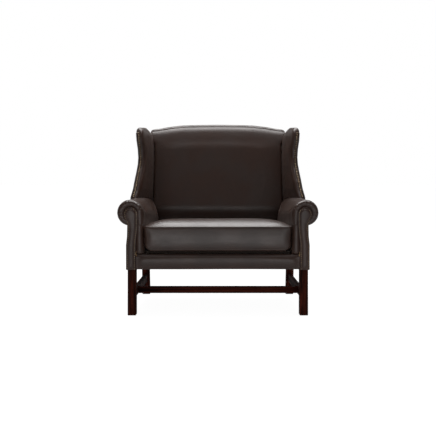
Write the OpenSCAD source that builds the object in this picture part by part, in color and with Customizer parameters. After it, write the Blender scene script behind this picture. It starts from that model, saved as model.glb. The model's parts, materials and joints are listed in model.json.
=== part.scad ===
// Chair and a half: a wide wing-backed leather easy chair on stretchered wooden legs.
// Millimetres, +Z up, front towards -Y. The origin is on the floor under the middle of the chair.

/* [Seat frame] */
// Width of each side, from the inside back's edge to the front leg's outer face
side_w = 85; // [70:1:100]
// How far each rear leg's outer face stands in from the front leg's
rear_in = 16; // [0:1:30]
// Depth from the inside back, at the cushion, to the posts' backs at the underside of the rails
back_stack = 74; // [60:1:100]
// Thickness of the seat rails
rail_t = 25; // [20:1:32]
// Height of the seat rails
rail_h = 76; // [64:1:96]
// Length of a corner block along each rail
block_s = 75; // [60:1:95]
// Height of a corner block
block_h = 44; // [30:1:56]
// Diameter of the screw that holds each corner block
screw_d = 6; // [4:0.5:8]
// Diameter of that screw's head
screw_head_d = 13; // [11:0.5:16]
// Height of that screw's head
screw_head_h = 4; // [2:0.5:6]
// How deep that screw goes into the leg
screw_bite = 22; // [12:1:26]

/* [Legs] */
// Side of the square legs
leg_s = 46.5; // [36:0.5:50]
// Height of the rails' underside over the floor
leg_h = 256; // [220:1:290]
// Radius of the legs' upright edges
leg_edge_r = 2; // [1:0.5:4]
// Chamfer under the front legs
foot_chamfer = 3; // [1:0.5:6]
// How far a rear foot stands behind the leg's top
rear_kick = 58; // [30:1:90]

/* [Stretchers] */
// Thickness of a side stretcher
side_bar_t = 20; // [14:1:28]
// Height of a side stretcher
side_bar_h = 48; // [36:1:60]
// Height of the stretchers' underside over the floor
bar_low = 87; // [60:1:110]
// Thickness of the cross stretcher
cross_bar_t = 22; // [16:1:28]
// Height of the cross stretcher
cross_bar_h = 38; // [26:1:46]
// Distance from the front legs' faces to the cross stretcher
cross_bar_back = 200; // [120:1:320]

/* [Back] */
// Height of the middle of the crest over the floor
crest_h = 1086; // [1030:1:1140]
// How much lower the crest is at its ends
crest_drop = 41; // [20:1:56]
// Lean of the outside back, in degrees
back_rake = 11.5; // [8:0.5:14]
// Half width of the inside back between the wings
back_pad_half = 411; // [375:1:430]
// Distance from the front legs' faces to the inside back, at the cushion
seat_d = 558; // [525:1:575]
// Padding in front of the crest, measured from the outside back
crest_pad = 92; // [76:1:110]
// How far the middle of the inside back swells past its edges
back_crown = 12; // [6:1:20]
// Thickness of the crest rail and the back tacking rail
crest_rail_t = 28; // [20:1:34]
// Height of the crest rail at its ends
crest_rail_h = 60; // [44:1:80]
// Padding over the top of the crest rail
crest_over = 26; // [18:1:36]
// Height of the back tacking rail's underside over the seat rails
back_tack_up = 48; // [30:1:80]
// Thickness of the outside back and the outside wings
panel_t = 5; // [3:0.5:7]

/* [Arms] */
// Height of the arms' tops over the floor
arm_h = 632; // [600:1:665]
// Radius of the arm rolls
roll_r = 68; // [64:1:76]
// How far the roll's centre lies inside the frame's outer face
roll_in = 12; // [6:1:20]
// Thickness of the arm posts
post_t = 30; // [22:1:40]
// Width of the arm top rails
arm_rail_w = 68; // [58:1:72]
// Height of the arm top rails
arm_rail_h = 25; // [18:1:32]
// Padding over the arm top rails
arm_over = 42; // [36:1:46]
// Height of the arm posts' heads
post_head_h = 45; // [36:1:52]
// Height of the arm tacking rails
tack_h = 25; // [18:1:35]
// Gap between the seat rails and the arm tacking rails
tack_gap = 36; // [24:1:48]
// Distance from the frame's outer face to the inside arm, at the front
arm_pad_front = 80; // [76:1:90]
// Distance from the frame's outer face to the inside arm, at the back
arm_pad_rear = 108; // [98:1:118]
// How much further in the inside arms stand at their foot
arm_pad_foot = 9; // [4:1:14]
// Thickness of the outside arms at the rails
arm_panel_t = 9; // [6:0.5:12]

/* [Facings] */
// Radius of the facings' round heads
facing_r = 39; // [34:0.5:44]
// How far the head's centre lies inside the frame's outer face
facing_in = 17; // [12:1:22]
// How far the head's centre lies under the roll's centre
facing_down = 7; // [3:1:12]
// Thickness of the facings at their edges
facing_t = 9; // [6:0.5:12]
// How far the facings swell past their edges
facing_crown = 6; // [3:0.5:9]
// How far the facings hang below the rails
facing_hang = 5; // [3:0.5:8]

/* [Wings] */
// How much lower the wings' tops are than the middle of the crest
wing_drop = 29; // [5:1:60]
// Distance from the front legs' faces to the wings' feet
wing_foot_back = 300; // [260:1:340]
// How far the wings' front edges sweep back to the waist
wing_sweep = 130; // [90:1:150]
// Width of each wing at its waist, from the inside back's edge outwards
wing_waist_w = 76; // [70:1:90]
// How far the wings' feet stand out past the waist
wing_flare = 33; // [20:1:40]
// Thickness of the wing boards
board_t = 22; // [16:1:26]
// Padding outside the boards at the wings' front edges
board_out = 10; // [8:0.5:14]
// Padding in front of the boards' front edges
board_back = 16; // [12:1:24]
// Padding inside the boards at the wings' front edges
wing_pad = 14; // [10:1:20]
// Padding over the boards' tops
wing_over = 36; // [28:1:44]

/* [Seat] */
// Thickness of each layer of webbing
web_t = 2; // [1.5:0.5:3]
// Width of the webbing
web_w = 50; // [40:1:60]
// Number of straps from front to back
web_long_count = 7; // [5:1:9]
// Number of straps from side to side
web_cross_count = 5; // [3:1:6]
// Number of straps down the back
web_back_count = 5; // [3:1:6]
// Thickness of the covered deck
deck_t = 14; // [10:1:18]
// Padding in front of the front rail
rail_pad = 9; // [6:0.5:12]
// How far the front rail's cover reaches back over it
rail_cover_back = 40; // [32:1:60]
// Padding over the front rail
rail_over = 4; // [2.5:0.5:6]
// Thickness of the bottom cloth
dust_t = 1.5; // [1:0.5:2.5]
// How far the bottom cloth stays inside the frame's outer faces
dust_in = 6; // [3:1:12]

/* [Cushion] */
// Height of the cushion over its crown
cushion_h = 160; // [140:1:180]
// How far the cushion's front stands before the front legs' faces
cushion_proud = 10; // [4:1:14]
// Space between the cushion and the inside back
cushion_back_gap = 10; // [8.5:0.5:14]
// Space between the cushion and each inside arm
cushion_side_gap = 2; // [1:0.5:5]
// Radius of the cushion's corners
cushion_corner_r = 32; // [22:1:44]
// How far in from its edge the cushion's crown still rises
cushion_crown_in = 180; // [140:5:220]
// How far the cushion's sides draw in between its corners
cushion_draw = 4; // [2:0.5:8]
// Thickness of the cushion's cover
cover_t = 2; // [1.5:0.5:3]
// Distance from the inside back's side edges to the zip's ends
zip_in = 101; // [85:1:170]
// Height of the zip's tape
zip_h = 10; // [6:1:14]
// Thickness of the zip's tape
zip_t = 1.5; // [1:0.5:2]
// Length of the zip's slider
slider_l = 14; // [10:1:18]
// Height of the zip's slider
slider_h = 9; // [6:1:12]
// Thickness of the zip's slider
slider_t = 3; // [2:0.5:4]

/* [Nails] */
// Diameter of a nail's head
nail_d = 8; // [6:0.5:10]
// Height of a nail's head
nail_t = 2.5; // [1.5:0.5:3.5]
// Distance from one nail to the next
nail_pitch = 11.4; // [9:0.1:16]
// Distance from a facing's edge to its nails
nail_in = 7; // [5:0.5:9]
// Distance from a wing's outer face to its nails
wing_nail_in = 18; // [16:0.5:22]

/* [Hidden] */
$fn = 32;

// Clearances between pieces, and the overrun of every cut
soft_gap = 0.3;
seam_gap = 0.8;
screw_gap = 0.1;
overrun = 1;

// Heights of the frame
rail_top = leg_h + rail_h;
strap_top = rail_top + 2 * web_t;
deck_top = strap_top + deck_t;
cushion_foot = deck_top + soft_gap;
cover_top = rail_top + web_t + soft_gap + rail_over;
arm_pad_low = max(cover_top, strap_top) + soft_gap;
arm_rail_top = arm_h - arm_over;
post_head_low = arm_rail_top - post_head_h;
tack_low = rail_top + tack_gap;
wing_h = crest_h - wing_drop;
board_top = wing_h - wing_over;
front_w = 2 * (back_pad_half + side_w);
rear_w = front_w - 2 * rear_in;
frame_d = seat_d + back_stack;
wing_waist_half = back_pad_half + wing_waist_w;
roll_z = arm_h - roll_r;

// Places from front to back
back_tan = tan(back_rake);
shelf_drop = crest_over * 0.6;
outside_top = crest_h - shelf_drop;
depth_behind = frame_d + (outside_top - leg_h) * back_tan + panel_t * cos(back_rake);
splay = atan((front_w - rear_w) / 2 / (frame_d - leg_s));
crown_in = (nail_in + nail_d / 2) * 1.5;
crown_proud = (facing_t + max(facing_crown, nail_t)) * cos(splay);
front_proud = crown_proud + (facing_in + facing_r - crown_in) * sin(splay);
front_y = -(depth_behind - front_proud) / 2;
seat_back_y = front_y + seat_d;
cushion_front_y = front_y - cushion_proud;
cushion_rear_y = seat_back_y - cushion_back_gap;
foot_y = front_y + frame_d - leg_s + rear_kick;
far = frame_d * 2;

// Colours as the photograph shows them
leather_colour = [0.15, 0.115, 0.105];
leather_dark = [0.12, 0.09, 0.085];
wood_colour = [0.22, 0.06, 0.04];
pine_colour = [0.78, 0.64, 0.45];
web_colour = [0.45, 0.38, 0.28];
cloth_colour = [0.06, 0.06, 0.06];
foam_colour = [0.9, 0.87, 0.75];
brass_colour = [0.55, 0.45, 0.3];
steel_colour = [0.6, 0.6, 0.62];

// Places that follow the rake of the back and the splay of the sides
function back_y(z) = front_y + frame_d + (z - leg_h) * back_tan;
function post_front_y(z) = back_y(z) - leg_s;
function side_pt(x, y) = [front_w / 2 + x * cos(splay) - y * sin(splay),
                          front_y + x * sin(splay) + y * cos(splay)];
function mix(a, b, t) = a + (b - a) * t;

// A skin over rings that have the same number of points, counter-clockwise about its direction.
// Each side is folded along its shorter diagonal, so facing skins fold alike.
// A waisted ring's ends are closed in rungs from one side to the other, the rest from the first point.
module loft(rings, waisted = false) {
    n = len(rings[0]);
    last = len(rings) - 1;
    points = [for (r = rings) each r];
    sides = [for (j = [0:last - 1]) for (i = [0:n - 1]) let (a = j * n + i, b = j * n + (i + 1) % n)
             each (norm(points[a] - points[b + n]) < norm(points[b] - points[a + n])
                 ? [[a, a + n, b + n], [a, b + n, b]] : [[a, a + n, b], [a + n, b + n, b]])];
    rungs = [for (i = [0:n / 2 - 2]) let (j = n - 1 - i) each [[i, i + 1, j - 1], [i, j - 1, j]]];
    low = waisted ? rungs : [[for (i = [0:n - 1]) i]];
    high = [for (f = low) [for (i = [len(f) - 1:-1:0]) last * n + f[i]]];
    polyhedron(points, concat(low, sides, high));
}

// The same piece on the other side
module left() {
    mirror([1, 0, 0]) children();
}

// A shape drawn as seen from the right, from x0 to x1
module across(x0, x1) {
    translate([x0, 0, 0]) rotate([90, 0, 90]) linear_extrude(x1 - x0) children();
}

// A shape drawn as seen from the front, from y0 to y1
module along(y0, y1) {
    translate([0, y1, 0]) rotate([90, 0, 0]) linear_extrude(y1 - y0) children();
}

// The frame of the right side: x outwards from the outer face, y back from the leg's face
module side_run() {
    translate([front_w / 2, front_y, 0]) rotate([0, 0, splay]) children();
}

// The frame of the outside back: x sideways, y behind it, z up its slope from the rails
module raked() {
    translate([0, front_y + frame_d, leg_h]) rotate([-back_rake, 0, 0]) children();
}

// Spaces that the legs and posts take, for cuts
module front_leg_space() {
    translate([front_w / 2 - leg_s, front_y, 0]) cube([leg_s, leg_s, rail_top]);
}

module behind_posts() {
    across(0, front_w) polygon([
        [foot_y, -overrun], [foot_y, 0], [post_front_y(leg_h), leg_h],
        [post_front_y(crest_h), crest_h], [far, crest_h], [far, -overrun]
    ]);
}

module behind_back(x0, x1) {
    across(x0, x1) polygon([
        [back_y(0), 0], [back_y(crest_h), crest_h], [far, crest_h], [far, 0]
    ]);
}

module back_post_space() {
    across(rear_w / 2 - leg_s, rear_w / 2) polygon([
        [post_front_y(rail_top), rail_top], [back_y(rail_top), rail_top],
        [back_y(crest_h), crest_h], [post_front_y(crest_h), crest_h]
    ]);
}

// Front legs
module leg_section() {
    inner = leg_s - 2 * leg_edge_r;
    translate([leg_edge_r, 0]) square([inner, leg_s]);
    translate([0, leg_edge_r]) square([leg_s, inner]);
    for (x = [leg_edge_r, leg_s - leg_edge_r], y = [leg_edge_r, leg_s - leg_edge_r])
        translate([x, y]) circle(leg_edge_r);
}

module foot_chamfers() {
    side = foot_chamfer * sqrt(2);
    for (turn = [0:90:270])
        translate([leg_s / 2, leg_s / 2, 0]) rotate([0, 0, turn]) translate([leg_s / 2, 0, 0])
            rotate([0, 45, 0]) cube([side, leg_s * 2, side], center = true);
}

module front_leg() {
    color(wood_colour) difference() {
        translate([front_w / 2 - leg_s, front_y, 0]) difference() {
            linear_extrude(rail_top) leg_section();
            foot_chamfers();
        }
        corner_screw_space(0);
    }
}

// Rear legs, kicked back below the rails
module rear_leg_shape() {
    across(rear_w / 2 - leg_s, rear_w / 2) polygon([
        [foot_y, 0], [foot_y + leg_s, 0], [back_y(leg_h), leg_h], [back_y(rail_top), rail_top],
        [post_front_y(rail_top), rail_top], [post_front_y(leg_h), leg_h]
    ]);
}

module rear_leg() {
    color(wood_colour) difference() {
        rear_leg_shape();
        corner_screw_space(1);
    }
}

// Stretchers
module side_stretcher() {
    color(wood_colour) difference() {
        side_run() along(leg_s / 2, frame_d + rear_kick)
            translate([-(leg_s + side_bar_t) / 2, bar_low]) square([side_bar_t, side_bar_h]);
        front_leg_space();
        behind_posts();
    }
}

module cross_stretcher() {
    color(wood_colour) difference() {
        translate([-front_w / 2, front_y + cross_bar_back, bar_low])
            cube([front_w, cross_bar_t, cross_bar_h]);
        for (side = [0, 1]) mirror([side, 0, 0])
            side_run() translate([-(leg_s + side_bar_t) / 2, 0, 0]) cube([front_w, frame_d, crest_h]);
    }
}

// Seat rails
module front_rail() {
    half = front_w / 2 - leg_s;
    color(pine_colour) translate([-half, front_y, leg_h]) cube([half * 2, rail_t, rail_h]);
}

module back_rail() {
    half = rear_w / 2 - leg_s;
    color(pine_colour) across(-half, half) polygon([
        [back_y(leg_h) - rail_t, leg_h], [back_y(leg_h), leg_h],
        [back_y(rail_top), rail_top], [back_y(rail_top) - rail_t, rail_top]
    ]);
}

module side_rail() {
    color(pine_colour) difference() {
        side_run() translate([-rail_t, leg_s / 2, leg_h]) cube([rail_t, frame_d, rail_h]);
        front_leg_space();
        behind_posts();
    }
}

// Corner blocks, each with one long screw into its leg
block_low = leg_h + (rail_h - block_h) / 2;
front_corner = [front_w / 2 - leg_s, front_y + leg_s];
rear_corner = [rear_w / 2 - leg_s, post_front_y(block_low)];
corner_in = leg_s - rail_t;
screw_run = block_s / sqrt(2) - corner_in * sqrt(2);

module corner_screw_place(rear) {
    at = rear == 0 ? front_corner : rear_corner;
    turn = rear == 0 ? -45 : 45;
    translate([at[0], at[1], block_low + block_h / 2]) rotate([0, 0, turn]) rotate([0, 90, 0]) children();
}

module corner_screw_space(rear) {
    corner_screw_place(rear) translate([0, 0, -block_s])
        cylinder(d = screw_d + 2 * screw_gap, h = block_s + screw_bite + overrun);
}

module corner_block(rear) {
    at = rear == 0 ? front_corner : rear_corner;
    way = rear == 0 ? 1 : -1;
    x = at[0] + corner_in;
    y = at[1] - way * corner_in;
    difference() {
        translate([0, 0, block_low]) linear_extrude(block_h)
            polygon([[x, y], [x, y + way * block_s], [x - block_s, y]]);
        front_leg_space();
        rear_leg_shape();
        side_run() translate([-rail_t, 0, 0]) cube([front_w, frame_d, crest_h]);
        translate([-front_w / 2, front_y - overrun, 0]) cube([front_w, rail_t + overrun, crest_h]);
        across(0, front_w) polygon([
            [back_y(leg_h) - rail_t, leg_h], [back_y(rail_top) - rail_t, rail_top],
            [far, rail_top], [far, leg_h]
        ]);
        corner_screw_space(rear);
    }
}

module corner_blocks() {
    color(pine_colour) for (side = [0, 1], rear = [0, 1]) mirror([side, 0, 0]) corner_block(rear);
}

module corner_screws() {
    color(steel_colour) for (side = [0, 1], rear = [0, 1]) mirror([side, 0, 0]) corner_screw_place(rear) {
        translate([0, 0, -screw_run - screw_head_h]) cylinder(d = screw_head_d, h = screw_head_h);
        translate([0, 0, -screw_run - screw_head_h / 2])
            cylinder(d = screw_d, h = screw_run + screw_head_h / 2 + screw_bite);
    }
}

// A front post's stem, and what it takes of the covers with a gap on its inner side and behind it
module post_stem(gap) {
    side_run() along(0, post_t + gap) translate([-leg_s - gap, rail_top])
        square([leg_s + gap, post_head_low - rail_top]);
}

// Arm posts: a plain stem, and a broad head inside the roll behind the roll's leather
module arm_post() {
    color(pine_colour) {
        post_stem(0);
        side_run() along(web_t + soft_gap, post_t)
            translate([-arm_rail_w / 2 - roll_in, post_head_low]) square([arm_rail_w, post_head_h]);
    }
}

module arm_top_rail() {
    color(pine_colour) difference() {
        side_run() translate([-arm_rail_w / 2 - roll_in, post_t, arm_rail_top - arm_rail_h])
            cube([arm_rail_w, far, arm_rail_h]);
        back_post_space();
        behind_back(0, front_w);
        wing_back_cut();
    }
}

// What would pass the post on its inner side stops at the post's front
module wing_back_cut() {
    across(0, rear_w / 2 - leg_s) polygon([
        [post_front_y(leg_h), leg_h], [post_front_y(crest_h), crest_h], [far, crest_h], [far, leg_h]
    ]);
}

module arm_tack_rail() {
    color(pine_colour) difference() {
        side_run() translate([-leg_s, post_t, tack_low]) cube([leg_s, frame_d, tack_h]);
        behind_posts();
    }
}

// Back frame
module back_post() {
    color(pine_colour) across(rear_w / 2 - leg_s, rear_w / 2) polygon([
        [post_front_y(rail_top), rail_top], [back_y(rail_top), rail_top],
        [back_y(board_top), board_top], [post_front_y(board_top), board_top]
    ]);
}

// Height of the crest along the chair, as a share of its drop at a share of its half width
crest_shares = [[0, 0], [0.28, 0.05], [0.44, 0.07], [0.53, 0.12], [0.64, 0.24], [0.77, 0.44], [0.92, 0.79],
                [1, 1]];
crest_past = 24;
crest_half = back_pad_half + crest_past;
function crest_z(x) = crest_h - crest_drop * lookup(abs(x) / crest_half, crest_shares);

// Height up the slope of the raked frame, at the outside back and at the crest rail's front
function up_slope(z) = (z - leg_h) / cos(back_rake);
function up_slope_front(z) = (z - leg_h - crest_rail_t * sin(back_rake)) / cos(back_rake);

back_station_shares = [-1, -0.93, -0.8, -0.6, -0.3, 0, 0.3, 0.6, 0.8, 0.93, 1];

module crest_rail() {
    half = rear_w / 2 - leg_s;
    step = back_pad_half + seam_gap;
    top = min(board_top, crest_z(half) - crest_over);
    low = up_slope(top - crest_rail_h);
    end = up_slope_front(top);
    tops = [for (s = back_station_shares) let (x = s * back_pad_half)
        [-x, up_slope_front(crest_z(x) - crest_over)]];
    color(pine_colour) raked() along(-crest_rail_t, 0) polygon(concat(
        [[-half, low], [half, low], [half, end], [step, end]], tops, [[-step, end], [-half, end]]));
}

module back_tack_rail() {
    half = rear_w / 2 - leg_s;
    color(pine_colour) raked() translate([-half, -crest_rail_t, up_slope(rail_top + back_tack_up)])
        cube([half * 2, crest_rail_t, crest_rail_t * 2]);
}

// The outline of a wing, at a share of its height
wing_level_shares = [0, 0.12, 0.24, 0.36, 0.46, 0.56, 0.68, 0.8, 0.9, 1];
wing_front_shares = [[0, 0], [0.12, 0.27], [0.29, 0.54], [0.42, 0.83], [0.54, 1], [0.7, 0.92], [0.83, 0.81],
                     [0.92, 0.88], [1, 1.1]];
wing_out_shares = [[0, 1], [0.12, 0.66], [0.29, 0.36], [0.42, 0.1], [0.54, 0], [0.7, 0.1], [0.83, 0.33],
                   [0.92, 0.39], [1, 0.36]];
function wing_share(z) = max(0, (z - arm_h) / (wing_h - arm_h));
function wing_x(z) = wing_waist_half + wing_flare * lookup(wing_share(z), wing_out_shares);
function wing_y(z) = front_y + wing_foot_back + wing_sweep * lookup(wing_share(z), wing_front_shares);

// A wing board: its inner and outer corners at its front, and its ends on the post's face
function board_ring(z) = [
    [rear_w / 2 - board_t, post_front_y(z), z],
    [wing_x(z) - board_out - board_t, wing_y(z) + board_back, z],
    [wing_x(z) - board_out, wing_y(z) + board_back, z],
    [rear_w / 2, post_front_y(z), z]
];
function wing_levels(low, high) = concat(
    [low],
    [for (s = wing_level_shares) let (z = mix(arm_h, wing_h, s))
        if (z > low + panel_t && z < high - panel_t) z],
    [high]
);

module wing_board() {
    color(pine_colour) loft([for (z = wing_levels(arm_rail_top, board_top)) board_ring(z)]);
}

// Webbing: seat straps over the rails and each other, back straps from rail to rail
module seat_webbing_long() {
    run = rear_w - 2 * leg_s;
    color(web_colour) for (i = [0:web_long_count - 1])
        translate([run * ((i + 0.5) / web_long_count - 0.5) - web_w / 2, front_y + web_t, rail_top])
            cube([web_w, frame_d - web_t * 2, web_t]);
}

module seat_webbing_cross() {
    first = rail_cover_back + web_w;
    last = frame_d - leg_s - web_w;
    color(web_colour) for (i = [0:web_cross_count - 1])
        let (y = mix(first, last, i / (web_cross_count - 1)), half = side_pt(-web_t, y)[0])
        translate([-half, front_y + y - web_w / 2, rail_top + web_t]) cube([half * 2, web_w, web_t]);
}

module back_webbing() {
    low = up_slope(rail_top + back_tack_up);
    high = up_slope_front(crest_z(crest_half) - crest_over) - web_t;
    color(web_colour) raked() for (i = [0:web_back_count - 1])
        let (x = back_pad_half * ((2 * i + 1) / web_back_count - 1))
        translate([x - web_w / 2, -crest_rail_t - web_t, low]) cube([web_w, web_t, high - low]);
}

// The inside arm's face: how high it rises at a share of the way back, and how far in it stands
rear_drop_share = 1.86;
function arm_drop(t) = mix(roll_r, roll_r * rear_drop_share, t);
function arm_face_x(y, z) =
    let (
        high = roll_z + roll_r - arm_drop(y / frame_d),
        up = max(0, min(1, (z - arm_pad_low) / (high - arm_pad_low)))
    )
    -mix(arm_pad_front, arm_pad_rear, y / frame_d) - arm_pad_foot * (1 - up);

// The seat's deck, between the inside arms
module seat_deck() {
    y0 = rail_cover_back + soft_gap;
    y1 = seat_d - seam_gap;
    a = side_pt(arm_face_x(y0, arm_pad_low) - seam_gap, y0)[0];
    b = side_pt(arm_face_x(y1, arm_pad_low) - seam_gap, y1)[0];
    color(leather_dark) translate([0, 0, strap_top]) linear_extrude(deck_t) polygon([
        [-a, front_y + y0], [a, front_y + y0], [b, front_y + y1], [-b, front_y + y1]
    ]);
}

// The front rail's padded cover, rounded over the rail
rail_cover_shares = [[0, 0.02], [-0.65, 0], [-1, 0.1], [-1.05, 0.5], [-1, 0.86], [-0.65, 0.96], [0, 1]];

module front_rail_cover() {
    half = side_pt(facing_in_x(-facing_foot_share) - soft_gap, 0)[0];
    low = leg_h - web_t;
    under = rail_top + web_t + soft_gap;
    front = [for (p = rail_cover_shares) [front_y + rail_pad * p[0], mix(low, cover_top, p[1])]];
    color(leather_colour) difference() {
        across(-half, half) polygon(concat(front, [
            [front_y + rail_cover_back - rail_over, cover_top],
            [front_y + rail_cover_back, cover_top - rail_over / 2],
            [front_y + rail_cover_back, under], [front_y, under]
        ]));
        for (side = [0, 1]) mirror([side, 0, 0]) post_stem(soft_gap);
    }
}

// The cloth tacked under the rails
module bottom_cloth() {
    a = side_pt(-dust_in, 0)[0];
    b = side_pt(-dust_in, frame_d)[0];
    color(cloth_colour) difference() {
        translate([0, 0, leg_h - dust_t]) linear_extrude(dust_t) polygon([
            [-a, front_y + dust_in], [a, front_y + dust_in],
            [b, back_y(leg_h) - dust_in], [-b, back_y(leg_h) - dust_in]
        ]);
        for (side = [0, 1]) mirror([side, 0, 0]) {
            front_leg_space();
            rear_leg_shape();
        }
    }
}

// Inside arm: from the roll's top, shares of the way in and down to the face behind the cushion
roll_steps = 7;
round_shares = [for (i = [0:roll_steps]) let (a = 90 * i / roll_steps) [sin(a), 1 - cos(a)]];
slope_shares = [[0, 0], [0.22, 0.015], [0.4, 0.07], [0.55, 0.19], [0.68, 0.36], [0.82, 0.58], [0.94, 0.8],
                [1, 1]];
roll_out_steps = 9;
roll_end_angle = -acos(roll_in / roll_r);
pad_foot_shares = [0, 0.4, 0.75];

// One ring of the inside arm, at a share of the way back, drawn in by inset
function arm_ring(y, t, inset) =
    let (
        reach = mix(arm_pad_front, arm_pad_rear, t) - roll_in - inset,
        drop = arm_drop(t),
        high = roll_z + roll_r - inset,
        face = roll_z + roll_r - drop,
        in_share = [for (i = [roll_steps:-1:0]) mix(round_shares[i], slope_shares[i], t)],
        low = arm_pad_low + inset / 2,
        foot_up = [for (s = pad_foot_shares)
            [-roll_in - reach - arm_pad_foot * (1 - s), y, mix(low, face, s)]],
        inner = [for (p = in_share) [-roll_in - reach * p[0], y, high - (drop - inset) * p[1]]],
        outer = [for (i = [1:roll_out_steps]) let (a = mix(90, roll_end_angle, i / roll_out_steps))
            [max(0, -roll_in + (roll_r - inset) * cos(a)), y, roll_z + (roll_r - inset) * sin(a)]]
    )
    concat(
        [[-leg_s, y, post_head_low], [-leg_s, y, low]], foot_up, inner, outer,
        [[0, y, roll_z - roll_r + panel_t + inset], [0, y, post_head_low]]
    );

arm_edge_r = 12;
arm_run = frame_d * 1.25;

module inside_arm_shape() {
    side_run() loft([
        arm_ring(0, 0, arm_edge_r * 0.6), arm_ring(arm_edge_r * 0.4, 0, arm_edge_r * 0.2),
        arm_ring(arm_edge_r, 0, 0), arm_ring(arm_run, arm_run / frame_d, 0)
    ]);
}

module inside_arm() {
    color(leather_colour) resize([0, 0, 0]) difference() {
        inside_arm_shape();
        side_run() translate([-arm_rail_w / 2 - roll_in, web_t, post_head_low - soft_gap])
            cube([arm_rail_w, far, arm_rail_top - post_head_low + soft_gap]);
        behind_back(0, front_w);
        back_post_space();
        inside_back_shape();
        wing_back_cut();
        arm_board_space();
    }
}

// The slot that the wing's board takes through the arm's padding
module arm_board_space() {
    loft([for (z = [arm_rail_top - overrun, arm_h, arm_h + overrun]) let (b = board_ring(z)) [
        [b[0][0] - soft_gap, b[0][1] + overrun, z], [b[1][0] - soft_gap, b[1][1] - soft_gap, z],
        [b[2][0] + soft_gap, b[2][1] - soft_gap, z], [b[3][0] + soft_gap, b[3][1] + overrun, z]
    ]]);
}

// Outside arm: a thin panel from under the roll to the rails' underside
outside_arm_shares = [[1, 0], [1.03, 0.2], [1, 0.55], [0.75, 0.64], [0.4, 0.76], [0.33, 0.9], [0.28, 1]];

module outside_arm() {
    low = leg_h - facing_hang + web_t;
    high = roll_z - sqrt(pow(roll_r, 2) - pow(roll_in, 2)) - seam_gap * 2;
    outline = [for (p = outside_arm_shares) [arm_panel_t * p[0], mix(low, high, p[1])]];
    color(leather_colour) difference() {
        side_run() along(0, arm_run) polygon(concat([[0, low]], outline, [[0, high]]));
        behind_back(0, front_w);
        front_leg_space();
        rear_leg_shape();
        back_post_space();
    }
}

// Facing outline: shares of its height, and shares of its head's radius from its middle line
facing_out_shares = [[0, 0.63], [0.2, 0.64], [0.4, 0.64], [0.47, 0.6], [0.52, 0.53], [0.57, 0.47],
                     [0.65, 0.45], [0.74, 0.41], [0.8, 0.45], [0.85, 0.56], [0.9, 0.73]];
facing_foot_share = 0.72;
facing_in_shares = [[1, -1], [0.78, -0.98], [0.68, -0.92], [0.6, -0.85], [0.48, -0.74],
                    [0.37, -facing_foot_share], [0, -facing_foot_share]];
facing_arc_steps = 14;
facing_arc_from = -20;
facing_low = leg_h - facing_hang;
facing_head_z = roll_z - facing_down;

// The facing's outline, drawn in by inset, clockwise as seen from the front
function facing_in_x(s) = -facing_in + facing_r * s;
function facing_z(s, inset) = mix(facing_low + inset, facing_head_z, s);
function facing_ring(inset, y) = concat(
    [for (i = [len(facing_in_shares) - 1:-1:0]) let (p = facing_in_shares[i])
        [facing_in_x(p[1]) + inset, y, facing_z(p[0], inset)]],
    [for (i = [1:facing_arc_steps]) let (a = mix(180, facing_arc_from, i / facing_arc_steps))
        [-facing_in + (facing_r - inset) * cos(a), y, facing_head_z + (facing_r - inset) * sin(a)]],
    [for (i = [len(facing_out_shares) - 1:-1:0]) let (p = facing_out_shares[i])
        [facing_in_x(p[1]) - inset, y, facing_z(p[0], inset)]]);

module facing() {
    rim = nail_in + nail_d / 2;
    color(leather_colour) side_run() loft([
        facing_ring(crown_in, -facing_t - facing_crown),
        facing_ring(rim * 1.15, -facing_t - facing_crown * 0.7), facing_ring(rim, -facing_t),
        facing_ring(web_t / 2, -facing_t), facing_ring(0, -facing_t + web_t), facing_ring(0, 0)
    ], waisted = true);
}

// Points at an even pitch along a run of points
function run_lengths(p) = [for (i = 0, s = 0; i < len(p);
    s = i + 1 < len(p) ? s + norm(p[i + 1] - p[i]) : s, i = i + 1) s];
function spaced(p, pitch, ends) =
    let (
        s = run_lengths(p),
        total = s[len(s) - 1],
        count = max(1, round(total / pitch)),
        axis = function (k) [for (i = [0:len(p) - 1]) [s[i], p[i][k]]],
        xs = axis(0),
        ys = axis(1),
        zs = axis(2)
    )
    [for (i = [0:ends ? count : count - 1]) let (at = total * i / count)
        [lookup(at, xs), lookup(at, ys), lookup(at, zs)]];

nail_sides = 6;

module nail() {
    rotate([90, 0, 0]) cylinder(d1 = nail_d, d2 = nail_d * 0.7, h = nail_t, $fn = nail_sides);
}

module facing_nails() {
    ring = facing_ring(nail_in, -facing_t);
    path = concat(ring, [ring[0]]);
    color(brass_colour) side_run() for (p = spaced(path, nail_pitch, false)) translate(p) nail();
}

// Wing pads. The nail line runs down the front edge, where the inner and outer leather meet.
function nail_line(z) = [wing_x(z) - wing_nail_in, wing_y(z), z];
crease_x = back_pad_half + seam_gap;
function crease_y(z) = pad_face_y(back_pad_half, z);

function wing_inner_ring(z) =
    let (x = wing_x(z), y = wing_y(z), b = board_ring(z), n = nail_line(z), c = crease_y(z))
    [
        [crease_x, post_front_y(z), z], [crease_x, c + leg_s / 2, z], [crease_x, c, z],
        [mix(crease_x, b[1][0] - wing_pad, 0.35) - wing_pad / 3, mix(c, y, 0.3), z],
        [mix(crease_x, b[1][0] - wing_pad, 0.7) - wing_pad / 4, mix(c, y, 0.6), z],
        [b[1][0] - wing_pad, mix(y, b[1][1], 1.2), z], [b[1][0] - wing_pad * 0.7, mix(y, b[1][1], 0.5), z],
        [b[1][0] - wing_pad * 0.1, mix(y, b[1][1], 0.1), z], [n[0], n[1], z],
        [n[0], b[1][1] - soft_gap, z], [b[1][0] - soft_gap, b[1][1] - soft_gap, z],
        [b[0][0] - soft_gap, b[0][1], z]
    ];

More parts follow.
